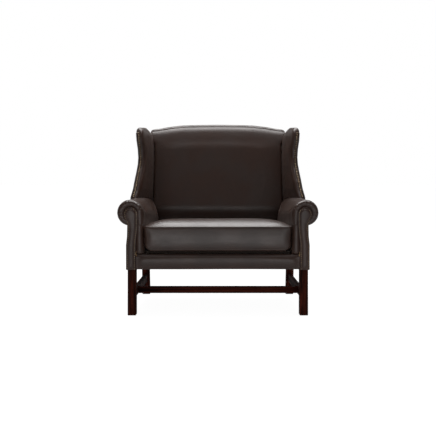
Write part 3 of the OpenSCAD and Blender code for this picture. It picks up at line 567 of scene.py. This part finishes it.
effects = {
    "hide_grain": hide_grain_group(),
    "edge_wear": edge_wear_group(),
    "timber_grain": timber_group(),
    "plain_weave": weave_group(),
}
SHEEN = (0.9, 0.85, 0.82, 1)
# The colour of the painted shade in the grain's creases.
CREASE_PAINTED_SHADE = (0.006, 0.003, 0.002, 1)
hide = leather("hide", (0.027, 0.0128, 0.0088, 1), (0.037, 0.0176, 0.0122, 1), (0.06, 0.033, 0.024, 1), 0.35, 0.5)
seat_hide = leather(
    "seat_hide", (0.027, 0.0132, 0.0092, 1), (0.037, 0.018, 0.0126, 1), (0.06, 0.034, 0.025, 1), 0.35, 0.7
)
# The back's copy of the hide: its colours a little darker as painted shade, with a little less shine.
back_hide = leather(
    "back_hide", (0.025, 0.0118, 0.008, 1), (0.033, 0.0158, 0.011, 1), (0.055, 0.031, 0.022, 1), 0.37, 0.45
)
MAHOGANY = (0.06, 0.0085, 0.003, 1), (0.007, 0.001, 0.0004, 1)
PINE = (0.62, 0.42, 0.22, 1), (0.42, 0.24, 0.1, 1)
mahogany_up = timber("mahogany_up", *MAHOGANY, (55, 55, 3.2), 0.6, 0.06)
mahogany_deep = timber("mahogany_deep", *MAHOGANY, (55, 3.2, 55), 0.6, 0.06)
mahogany_wide = timber("mahogany_wide", *MAHOGANY, (3.2, 55, 55), 0.6, 0.06)
pine_up = timber("pine_up", *PINE, (40, 40, 2.5), 0.62, 0.4)
pine_deep = timber("pine_deep", *PINE, (40, 2.5, 40), 0.62, 0.4)
pine_wide = timber("pine_wide", *PINE, (2.5, 40, 40), 0.62, 0.4)
antique_brass = metal("antique_brass", (0.4, 0.3, 0.205, 1), (0.14, 0.1, 0.065, 1), 0.42)
steel = metal("steel", (0.6, 0.6, 0.6, 1), (0.35, 0.33, 0.31, 1), 0.3)
jute = woven("jute", (0.5, 0.36, 0.2, 1), (0.2, 0.13, 0.06, 1), 0.003)
black_cloth = woven("black_cloth", (0.03, 0.03, 0.032, 1), (0.008, 0.008, 0.009, 1), 0.0012)
deck_cloth = woven("deck_cloth", (0.05, 0.035, 0.027, 1), (0.015, 0.01, 0.008, 1), 0.0012)
foam = foam_finish()


# ------------------------------------------------------------ upholstered skins


def padded_cover(node, material, voxel, rounds, cap, free, timbers=()):
    """A stuffed cover of one frame part and the timbers in it. free(points, normals) says how freely it swells."""
    piece = to_object(node + "_skin", cover_and_timber(node, timbers), material)
    reskin(piece, voxel, rounds)
    fit(piece, *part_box(node))
    fill_out(piece, np.clip(free(points(piece), normals(piece)), 0, 1), cap)
    refine(piece)
    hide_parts(node)
    return piece


def left_twin(right, node):
    """The left cover of a pair, turned over from the right one."""
    left = other_side(right, node + "_skin")
    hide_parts(node)


def crest_line(co, column=0.02):
    """The height of the crest over each point of the back, from one side to the other."""
    number = np.round(abs(co[:, 0]) / column).astype(int)
    tops = np.array([co[number == k, 2].max() for k in range(number.max() + 1)])
    tops[-2:] = tops[-3]
    tops = np.convolve(np.pad(tops, 2, "edge"), np.ones(5) / 5, "valid")
    return np.interp(abs(co[:, 0]), np.arange(len(tops)) * column, tops)


def make_inside_back():
    """The smooth inside back and the leather over its crest, wider there to reach behind the wings."""
    roll_height, roll_back, tuck_back, wider = 0.15, 0.02, 0.02, 0.027

    def free(co, n):
        below_crest = smoothstep(1.0, 0.92, co[:, 2])
        return smoothstep(0.0, 0.6, -n[:, 1]) * smoothstep(0.405, 0.36, abs(co[:, 0])) * below_crest

    piece = padded_cover("inside_back", back_hide, 0.009, 6, 0.005, free, ["crest_rail"])
    co, n = points(piece), normals(piece)
    front = smoothstep(0.2, 0.7, -n[:, 1])
    rolled = np.clip((co[:, 2] - crest_line(co) + roll_height) / roll_height, 0, 1) ** 2 * roll_back
    tucked = smoothstep(0.575, 0.48, co[:, 2]) * smoothstep(0.36, 0.42, co[:, 2]) * tuck_back
    co[:, 1] += (rolled + tucked) * front
    corner = smoothstep(0.95, 0.99, co[:, 2]) * smoothstep(0.36, 0.408, abs(co[:, 0]))
    co[:, 0] += np.sign(co[:, 0]) * wider * corner
    set_points(piece, co)
    ripple(piece, 0.3, 0.0016, 2)
    mark_edges(piece)


def make_inside_wings():
    """The stuffed inner faces of the wings, rolled over their front edges, their tops falling inwards."""
    lobe, fall, lean = 0.045, 0.07, 0.016

    def free(co, n):
        front = smoothstep(0.22, 0.1, co[:, 1])
        inner = smoothstep(0.1, 0.7, -n[:, 0])
        return np.maximum(front * 0.6, inner * 0.8) * smoothstep(0.63, 0.68, co[:, 2])

    right = padded_cover("inside_wing_right", hide, 0.0065, 9, 0.005, free)
    co = points(right)
    low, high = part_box("inside_wing_right")
    inward = ((high.x - lobe - co[:, 0]) / (high.x - lobe - low.x)).clip(0, 1)
    co[:, 2] -= fall * inward**1.8 * smoothstep(high.z - 0.2, high.z - 0.012, co[:, 2])
    top = smoothstep(high.z - 0.07, high.z, co[:, 2]) ** 2
    co[:, 1] += lean * top * smoothstep(0.25, 0.12, co[:, 1])
    set_points(right, co)
    ripple(right, 0.18, 0.0012, 5)
    mark_edges(right)
    left_twin(right, "inside_wing_left")


def behind_front(co):
    """How far points lie behind the splayed front of the right arm."""
    return co[:, 1] - LEG_FACE - (co[:, 0] - ARM_FRONT_X) * math.sin(SPLAY)


def pad_front(piece):
    """Stuffs the band round the front of the arm, between its facing and its edge."""
    band_width, band_rise, collar_rise = 0.034, 0.0085, 0.0042
    co, n = points(piece), normals(piece)
    inner = SCROLL.x - ROLL_RADIUS
    out = np.hypot(co[:, 0] - SCROLL.x, co[:, 2] - SCROLL.z)
    round_part = (co[:, 2] > SCROLL.z) | (co[:, 0] > SCROLL.x)
    in_from_edge = np.where(round_part, ROLL_RADIUS - out, co[:, 0] - inner)
    share = np.clip(in_from_edge / band_width, 0, 1)
    face = smoothstep(0.014, 0.003, behind_front(co)) * smoothstep(0.1, 0.6, -n[:, 1])
    co[:, 1] -= band_rise * np.sin(math.pi * share) ** 0.8 * face
    collar = smoothstep(0.075, 0.02, behind_front(co)) * smoothstep(0.045, 0.06, out) * (co[:, 2] > 0.5)
    away = np.stack([co[:, 0] - SCROLL.x, co[:, 2] - SCROLL.z], 1) / np.maximum(out, 0.01)[:, None]
    co[:, [0, 2]] += away * (collar_rise * collar)[:, None]
    set_points(piece, co)


def pleat_scroll(piece):
    """Draws the leather into folds where it turns round the front of the roll."""
    folds, fold_depth = 15, 0.0019
    co, n = points(piece), normals(piece)
    dx, dz = co[:, 0] - SCROLL.x, co[:, 2] - SCROLL.z
    angle, out = np.arctan2(dz, dx), np.hypot(dx, dz)
    face = smoothstep(0.035, 0.006, behind_front(co))
    band = smoothstep(0.030, 0.040, out) * smoothstep(0.078, 0.060, out)
    reach = smoothstep(-1.0, -0.6, angle) * smoothstep(3.3, 3.0, angle)
    wander = 0.16 * np.sin(angle * 5.0 + 1.0) + 0.1 * np.sin(angle * 11.0)
    step = (angle * folds / (2 * math.pi) + wander) % 1.0
    groove = np.exp(-(((step - 0.5) / 0.13) ** 2))
    depth = fold_depth * face * band * reach * groove
    set_points(piece, co - n * depth[:, None])


def make_inside_arms():
    """The arm pads: down inside, over the roll and round its front."""

    def free(co, n):
        front = smoothstep(LEG_FACE + 0.03, LEG_FACE + 0.1, co[:, 1])
        return smoothstep(0.0, 0.5, n[:, 2] - n[:, 0]) * (0.35 + 0.65 * front)

    timbers = ["arm_top_rail_right", "arm_post_right"]
    right = padded_cover("inside_arm_right", hide, 0.0062, 3, 0.006, free, timbers)
    pad_front(right)
    pleat_scroll(right)
    ripple(right, 0.16, 0.0014, 9)
    mark_edges(right)
    left_twin(right, "inside_arm_left")


def bulge_facing(piece, crown=0.0042, row_height=0.012):
    """Crowns the narrow facing along its middle, between its two rows of nails."""
    co, n = points(piece), normals(piece)
    front = smoothstep(0.3, 0.8, -n[:, 1])
    rows = np.round(co[:, 2] / row_height).astype(int)
    for level in np.unique(rows):
        row = rows == level
        left, right = co[row, 0].min(), co[row, 0].max()
        share = ((co[row, 0] - left) / max(right - left, 1e-6) - 0.5) * 2
        co[row, 1] -= crown * np.cos(share.clip(-0.8, 0.8) * math.pi / 1.6) * front[row]
    set_points(piece, co)


def make_facings():
    """The crowned scroll facings."""
    right = to_object("facing_right_skin", frame_copy("facing_right"), hide)
    reskin(right, 0.0032, 3)
    fit(right, *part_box("facing_right"))
    refine(right)
    bulge_facing(right)
    mark_edges(right)
    left = other_side(right, "facing_left_skin")
    for piece, node in ((right, "facing_right"), (left, "facing_left")):
        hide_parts(node)


def make_rail_cover():
    """The padded band along the front rail."""

    def free(co, n):
        return smoothstep(0.1, 0.7, -n[:, 1]) * smoothstep(0.45, 0.42, abs(co[:, 0]))

    piece = padded_cover("front_rail_cover", hide, 0.006, 2, 0.003, free)
    low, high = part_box("front_rail_cover")
    bulge_front(piece, 0.0055, low.z, high.z, 1.0, high.x, 0.05, (0.2, 0.7))
    ripple(piece, 0.2, 0.0008, 12)
    mark_edges(piece)


def bulge_front(piece, rise, foot, top, power, end, ease, facing):
    """Swells the front between two heights, easing to nothing at its ends. facing says how straight a point looks."""
    co, n = points(piece), normals(piece)
    share = ((co[:, 2] - foot) / (top - foot)).clip(0, 1)
    inside = smoothstep(end, end - ease, abs(co[:, 0]))
    co[:, 1] -= rise * np.sin(math.pi * share) ** power * inside * smoothstep(*facing, -n[:, 1])
    set_points(piece, co)


def make_cushion():
    """The loose seat cushion: a full box cushion, seamed round its top and its bottom."""
    low, high = CUSHION_LOW, CUSHION_HIGH
    seams = [low.z + (high.z - low.z) * share for share in SEAM_SHARES]
    piece = to_object("seat_cushion", outer_skin(frame_copy("cushion_cover")), seat_hide, "cushion")
    reskin(piece, 0.0085, 3)
    fit(piece, low, high)
    co, n = points(piece), normals(piece)
    free = 0.3 + 0.2 * smoothstep(0.2, 0.8, n[:, 2])
    free *= smoothstep(low.z + 0.004, low.z + 0.03, co[:, 2])
    fill_out(piece, free, 0.003)
    bulge_front(piece, 0.0112, low.z, seams[0], 0.9, high.x, 0.06, (0.3, 0.8))
    refine(piece)
    draw_seams(piece, seams)
    welts = [lay_welt(piece, name, z) for name, z in zip(("seat_welt_top", "seat_welt_bottom"), seams)]
    for crowned in (piece, *welts):
        set_points(crowned, domed(points(crowned)))
    ripple(piece, 0.22, 0.0012, 3)
    mark_edges(piece)
    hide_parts("cushion_cover")


def draw_seams(piece, seams, width=0.0045, depth=0.0022):
    """Draws the sides in along the seams."""
    co, n = points(piece), normals(piece)
    upright = smoothstep(0.3, 0.7, np.hypot(n[:, 0], n[:, 1]))
    pull = sum(np.exp(-(((co[:, 2] - z) / width) ** 2)) for z in seams) * upright * depth
    set_points(piece, co - n * np.array([1, 1, 0]) * pull[:, None])


def domed(co):
    """Crowns the flat top of the cushion: full over the front, soft at its sides, lower at the back."""
    low, high = CUSHION_LOW, CUSHION_HIGH
    crown, edge_share, back_drop, corner_lift = 1.38, 0.12, 0.016, 0.02
    seam = low.z + (high.z - low.z) * SEAM_SHARES[0]
    side = 1 - 0.92 * (abs(co[:, 0]) / high.x).clip(0, 1) ** 8
    along = (co[:, 1] - low.y) / (high.y - low.y)
    rise = 1 - (1 - along / 0.19).clip(0, 1) ** 2
    fall = 1 - 0.95 * ((along - 0.27) / 0.73).clip(0, 1) ** 1.2
    over = (co[:, 2] - seam).clip(0, None)
    share = np.maximum(crown * side * rise * fall, edge_share)
    top = co[:, 2] - over * (1 - share)
    upper = ((top - low.z) / (high.z - low.z)).clip(0, 1)
    corner = smoothstep(high.x - 0.06, high.x, abs(co[:, 0])) ** 1.5 * smoothstep(0.4, 0.0, along)
    out = co.copy()
    out[:, 2] = top - back_drop * smoothstep(0.35, 1.0, along) * upper
    out[:, 2] += corner_lift * corner * smoothstep(0.4, 0.0, upper)
    return out


def ring_at(piece, z, step=0.008):
    """Even points round a piece at one height, eased so that a cord lies smoothly on them."""
    bm = bmesh.new()
    bm.from_mesh(piece.data)
    cut = bmesh.ops.bisect_plane(bm, geom=everything(bm), plane_co=(0, 0, z), plane_no=(0, 0, 1))
    ring = [v for v in cut["geom_cut"] if isinstance(v, bmesh.types.BMVert)]
    middle = sum((v.co for v in ring), Vector()) / len(ring)
    ring = sorted(ring, key=lambda v: math.atan2(v.co.y - middle.y, v.co.x - middle.x))
    path = np.array([v.co for v in ring])
    bm.free()
    gaps = np.linalg.norm(np.roll(path, -1, 0) - path, axis=1)
    run = np.concatenate([[0], np.cumsum(gaps)])
    stops = np.linspace(0, run[-1], int(run[-1] / step), endpoint=False)
    closed = np.vstack([path, path[:1]])
    even = np.stack([np.interp(stops, run, closed[:, axis]) for axis in range(3)], 1)
    for _ in range(3):
        even = 0.5 * even + 0.25 * (np.roll(even, 1, 0) + np.roll(even, -1, 0))
    return even


def lay_welt(piece, name, z, radius=0.0021):
    """A thin leather welt in the seam that runs round a cushion at one height."""
    ring = ring_at(piece, z)
    curve = bpy.data.curves.new(name, "CURVE")
    curve.dimensions = "3D"
    curve.bevel_depth = radius
    curve.bevel_resolution = 2
    line = curve.splines.new("POLY")
    line.points.add(len(ring) - 1)
    line.use_cyclic_u = True
    line.points.foreach_set("co", np.hstack([ring, np.ones((len(ring), 1))]).ravel())
    cord = bpy.data.objects.new(name, curve)
    scene.collection.objects.link(cord)
    bpy.context.view_layer.update()
    bm = bmesh.new()
    bm.from_mesh(cord.evaluated_get(bpy.context.evaluated_depsgraph_get()).to_mesh())
    bmesh.ops.remove_doubles(bm, verts=bm.verts, dist=1e-6)
    bpy.data.objects.remove(cord)
    bpy.data.curves.remove(curve)
    return to_object(name, bm, seat_hide, "cushion")


# --------------------------------------------------------------- thin panels


def panel(node, material, border=0.008):
    """A tight leather panel with its broad face set inside its turned edge."""
    bm = frame_copy(node)
    bmesh.ops.dissolve_limit(bm, angle_limit=math.radians(2), verts=bm.verts, edges=bm.edges)
    broad = [f for f in bm.faces if f.calc_area() > 0.02]
    bmesh.ops.inset_region(bm, faces=broad, thickness=border, depth=0.0, use_even_offset=True)
    bmesh.ops.triangulate(bm, faces=bm.faces)
    piece = to_object(node + "_skin", bm, material, smooth=False)
    ease_edges(piece, "turned_edge", 0.0012, 50)
    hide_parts(node)


def ease_edges(piece, name, width, sharper_than):
    """Eases the edges of a piece that turn by more than an angle."""
    bevel = piece.modifiers.new(name, "BEVEL")
    bevel.width = width
    bevel.segments = 2
    bevel.limit_method = "ANGLE"
    bevel.angle_limit = math.radians(sharper_than)


def make_outside_panels():
    """The leather outside the arms and the wings and behind the back."""
    for side in SIDES:
        panel("outside_arm_" + side, hide)
        wing = to_object("outside_wing_" + side + "_skin", frame_copy("outside_wing_" + side), hide)
        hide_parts("outside_wing_" + side)
    panel("outside_back", back_hide)


# ---------------------------------------------------------- nails and fittings


def dome_head(radius=0.0038, height=0.0028):
    """One domed nail head, flat underneath."""
    bm = bmesh.new()
    bmesh.ops.create_uvsphere(bm, u_segments=10, v_segments=6, radius=1.0)
    bmesh.ops.bisect_plane(bm, geom=everything(bm), plane_co=(0, 0, 0), plane_no=(0, 0, -1), clear_outer=True)
    bmesh.ops.edgeloop_fill(bm, edges=[e for e in bm.edges if e.is_boundary])
    bmesh.ops.scale(bm, vec=(radius, radius, height), verts=bm.verts)
    bmesh.ops.recalc_face_normals(bm, faces=bm.faces)
    return to_mesh("nail_head", bm)


def foot_and_axis(lump):
    """Where a plain nail head of the frame stands, and which way it points."""
    co = np.array([v.co for v in lump])
    middle = co.mean(0)
    _, _, axes = np.linalg.svd(co - middle)
    axis = axes[2]
    along = (co - middle) @ axis
    width = np.linalg.norm((co - middle) - np.outer(along, axis), axis=1)
    if width[along > 0].mean() > width[along < 0].mean():
        axis, along = -axis, -along
    return middle + axis * along.min(), axis


def make_nails():
    """Domed antique nails in the place of every plain head of the frame."""
    head = dome_head()
    for node in ("facing_nails_left", "facing_nails_right", "wing_nails_left", "wing_nails_right"):
        plain = frame_copy(node)
        places = [foot_and_axis(lump) for lump in islands(plain)]
        plain.free()
        bm = bmesh.new()
        for foot, axis in places:
            turn = Vector((0, 0, 1)).rotation_difference(Vector(axis)).to_matrix().to_4x4()
            count = len(bm.verts)
            bm.from_mesh(head)
            bm.verts.ensure_lookup_table()
            bmesh.ops.transform(bm, matrix=Matrix.Translation(foot) @ turn, verts=bm.verts[count:])
        piece = to_object(node + "_domed", bm, antique_brass, "frame", "nail_brass")
        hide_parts(node)
    bpy.data.meshes.remove(head)


def eased_copy(node, material, body, slot, width):
    """A soft or small part with its edges eased."""
    piece = to_object(node + "_made", frame_copy(node), material, body, slot, smooth=False)
    ease_edges(piece, "ease", width, 40)
    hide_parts(node)
    return piece


def make_bottom_cloth():
    """The black cloth under the rails, tacked tight along its edges."""
    piece = eased_copy("bottom_cloth", black_cloth, "frame", "bottom_cloth", 0.0002)


def make_seat_inside():
    """What the cushion and the covers hide: deck, webbing, foam and the zip."""
    deck = eased_copy("seat_deck", deck_cloth, "frame", "deck_cloth", 0.004)
    for node in ("seat_webbing_long", "seat_webbing_cross", "back_webbing"):
        eased_copy(node, jute, "frame", "webbing", 0.0003)
    core = to_object("cushion_foam_core", frame_copy("cushion_foam"), foam, "cushion", "foam")
    under_leather = 0.009
    set_points(core, domed(points(core) - normals(core) * under_leather))
    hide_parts("cushion_foam")
    eased_copy("cushion_zip", black_cloth, "cushion", "zip_tape", 0.0003)
    eased_copy("zip_slider", antique_brass, "slider", "zip_metal", 0.0005)


def both(*nodes):
    """The left and the right part of each name."""
    return [node + "_" + side for node in nodes for side in SIDES]


def finish_timber():
    """Polish on the show wood, plain finishes on the frame."""
    coats = {
        mahogany_up: both("front_leg", "rear_leg"),
        mahogany_deep: both("side_stretcher"),
        mahogany_wide: ["cross_stretcher"],
        pine_up: both("arm_post", "back_post", "wing_board") + ["corner_blocks"],
        pine_deep: both("side_rail", "arm_top_rail", "arm_tack_rail"),
        pine_wide: ["front_rail", "back_rail", "crest_rail", "back_tack_rail"],
        steel: ["corner_screws"],
    }
    for finish, nodes in coats.items():
        for node in nodes:
            for spot in frame["nodes"][node].material_slots:
                spot.material = finish


# ------------------------------------------------------------------ the studio


def soft_light(name, place_at, aim, size, watts):
    lamp = bpy.data.lights.new(name, "AREA")
    lamp.shape = "RECTANGLE"
    lamp.size, lamp.size_y = size
    lamp.energy = watts
    thing = bpy.data.objects.new(name, lamp)
    thing.location = place_at
    thing.rotation_euler = (Vector(aim) - Vector(place_at)).to_track_quat("-Z", "Y").to_euler()
    scene.collection.objects.link(thing)


def seen_rays(tree, in_gloss):
    """Rays that see the background: the camera's, those through glass, and a share of those in gloss."""
    path = add(tree, "LightPath")
    plain = sums(tree, "MAXIMUM", path.outputs["Is Camera Ray"], path.outputs["Is Transmission Ray"])
    return sums(tree, "MAXIMUM", plain, sums(tree, "MULTIPLY", path.outputs["Is Glossy Ray"], in_gloss))


def light_studio():
    """A white room: soft light from above, a low screen before the chair, a plain floor."""
    light_world()
    soft_light("overhead", (0, 0.8, 3.0), (0, 0.79, 0), (2.6, 2.3), 125)
    screen_y, screen_z = LEG_FACE - CAMERA_FROM_LEGS - 0.4, 0.47
    soft_light("screen", (0, screen_y, screen_z), (0, 0, screen_z), (4.6, 0.84), 31.5)
    lay_floor()


def light_world():
    """White to the camera, a dimmer light on the chair, and dark corners of the room in its gloss."""
    world = bpy.data.worlds.new("studio")
    scene.world = world
    world.use_nodes = True
    tree = world.node_tree
    plain = tree.nodes["Background"]
    plain.inputs["Color"].default_value = (1, 1, 1, 1)
    way = add(tree, "SeparateXYZ")
    tree.links.new(add(tree, "TexCoord").outputs["Generated"], way.inputs[0])
    back, up = way.outputs[1], way.outputs[2]
    walls = spread(tree, back, -0.3, 0.7, 0.08, 0.16)
    ceiling = spread(tree, up, 0.5, 0.95, 0.0, 0.6)
    far_wall = sums(tree, "MULTIPLY", spread(tree, back, 0.8, 0.95, 0.0, 0.5), spread(tree, up, 0.03, 0.14))
    room = sums(tree, "MAXIMUM", sums(tree, "MAXIMUM", walls, ceiling), far_wall)
    gloss = add(tree, "LightPath").outputs["Is Glossy Ray"]
    shown = spread(tree, seen_rays(tree, 0.0), 0.0, 1.0, WORLD_LIGHT, 1.0)
    in_gloss = sums(tree, "MULTIPLY", gloss, sums(tree, "SUBTRACT", room, WORLD_LIGHT))
    tree.links.new(sums(tree, "ADD", shown, in_gloss), plain.inputs["Strength"])


def lay_floor():
    """A plain floor, white to the camera, that keeps the chair's soft shadow."""
    bm = bmesh.new()
    bmesh.ops.create_grid(bm, x_segments=1, y_segments=1, size=20)
    mesh = to_mesh("floor", bm)
    floor = bpy.data.objects.new("floor", mesh)
    scene.collection.objects.link(floor)
    material = bpy.data.materials.new("floor_white")
    tree = tree_of(material)
    tree.nodes.remove(tree.nodes["Principled BSDF"])
    matt = add(tree, "BsdfDiffuse", Color=(0.9, 0.9, 0.9, 1))
    glow = add(tree, "Emission", Color=(1, 1, 1, 1))
    seen_glow, glow_in_gloss = 1.12, 0.30
    gloss = add(tree, "LightPath").outputs["Is Glossy Ray"]
    dimmed = sums(tree, "MULTIPLY", gloss, seen_glow - glow_in_gloss)
    tree.links.new(sums(tree, "SUBTRACT", seen_glow, dimmed), glow.inputs["Strength"])
    mix = add(tree, "MixShader")
    tree.links.new(sums(tree, "MULTIPLY", seen_rays(tree, 1.0), 0.86), mix.inputs[0])
    tree.links.new(matt.outputs[0], mix.inputs[1])
    tree.links.new(glow.outputs[0], mix.inputs[2])
    tree.links.new(mix.outputs[0], tree.nodes["Material Output"].inputs["Surface"])
    mesh.materials.append(material)


# ---------------------------------------------------------------- the whole chair

set_camera()
make_cushion()
make_inside_back()
make_inside_wings()
make_inside_arms()
make_facings()
make_rail_cover()
make_outside_panels()
make_nails()
make_bottom_cloth()
make_seat_inside()
finish_timber()
light_studio()
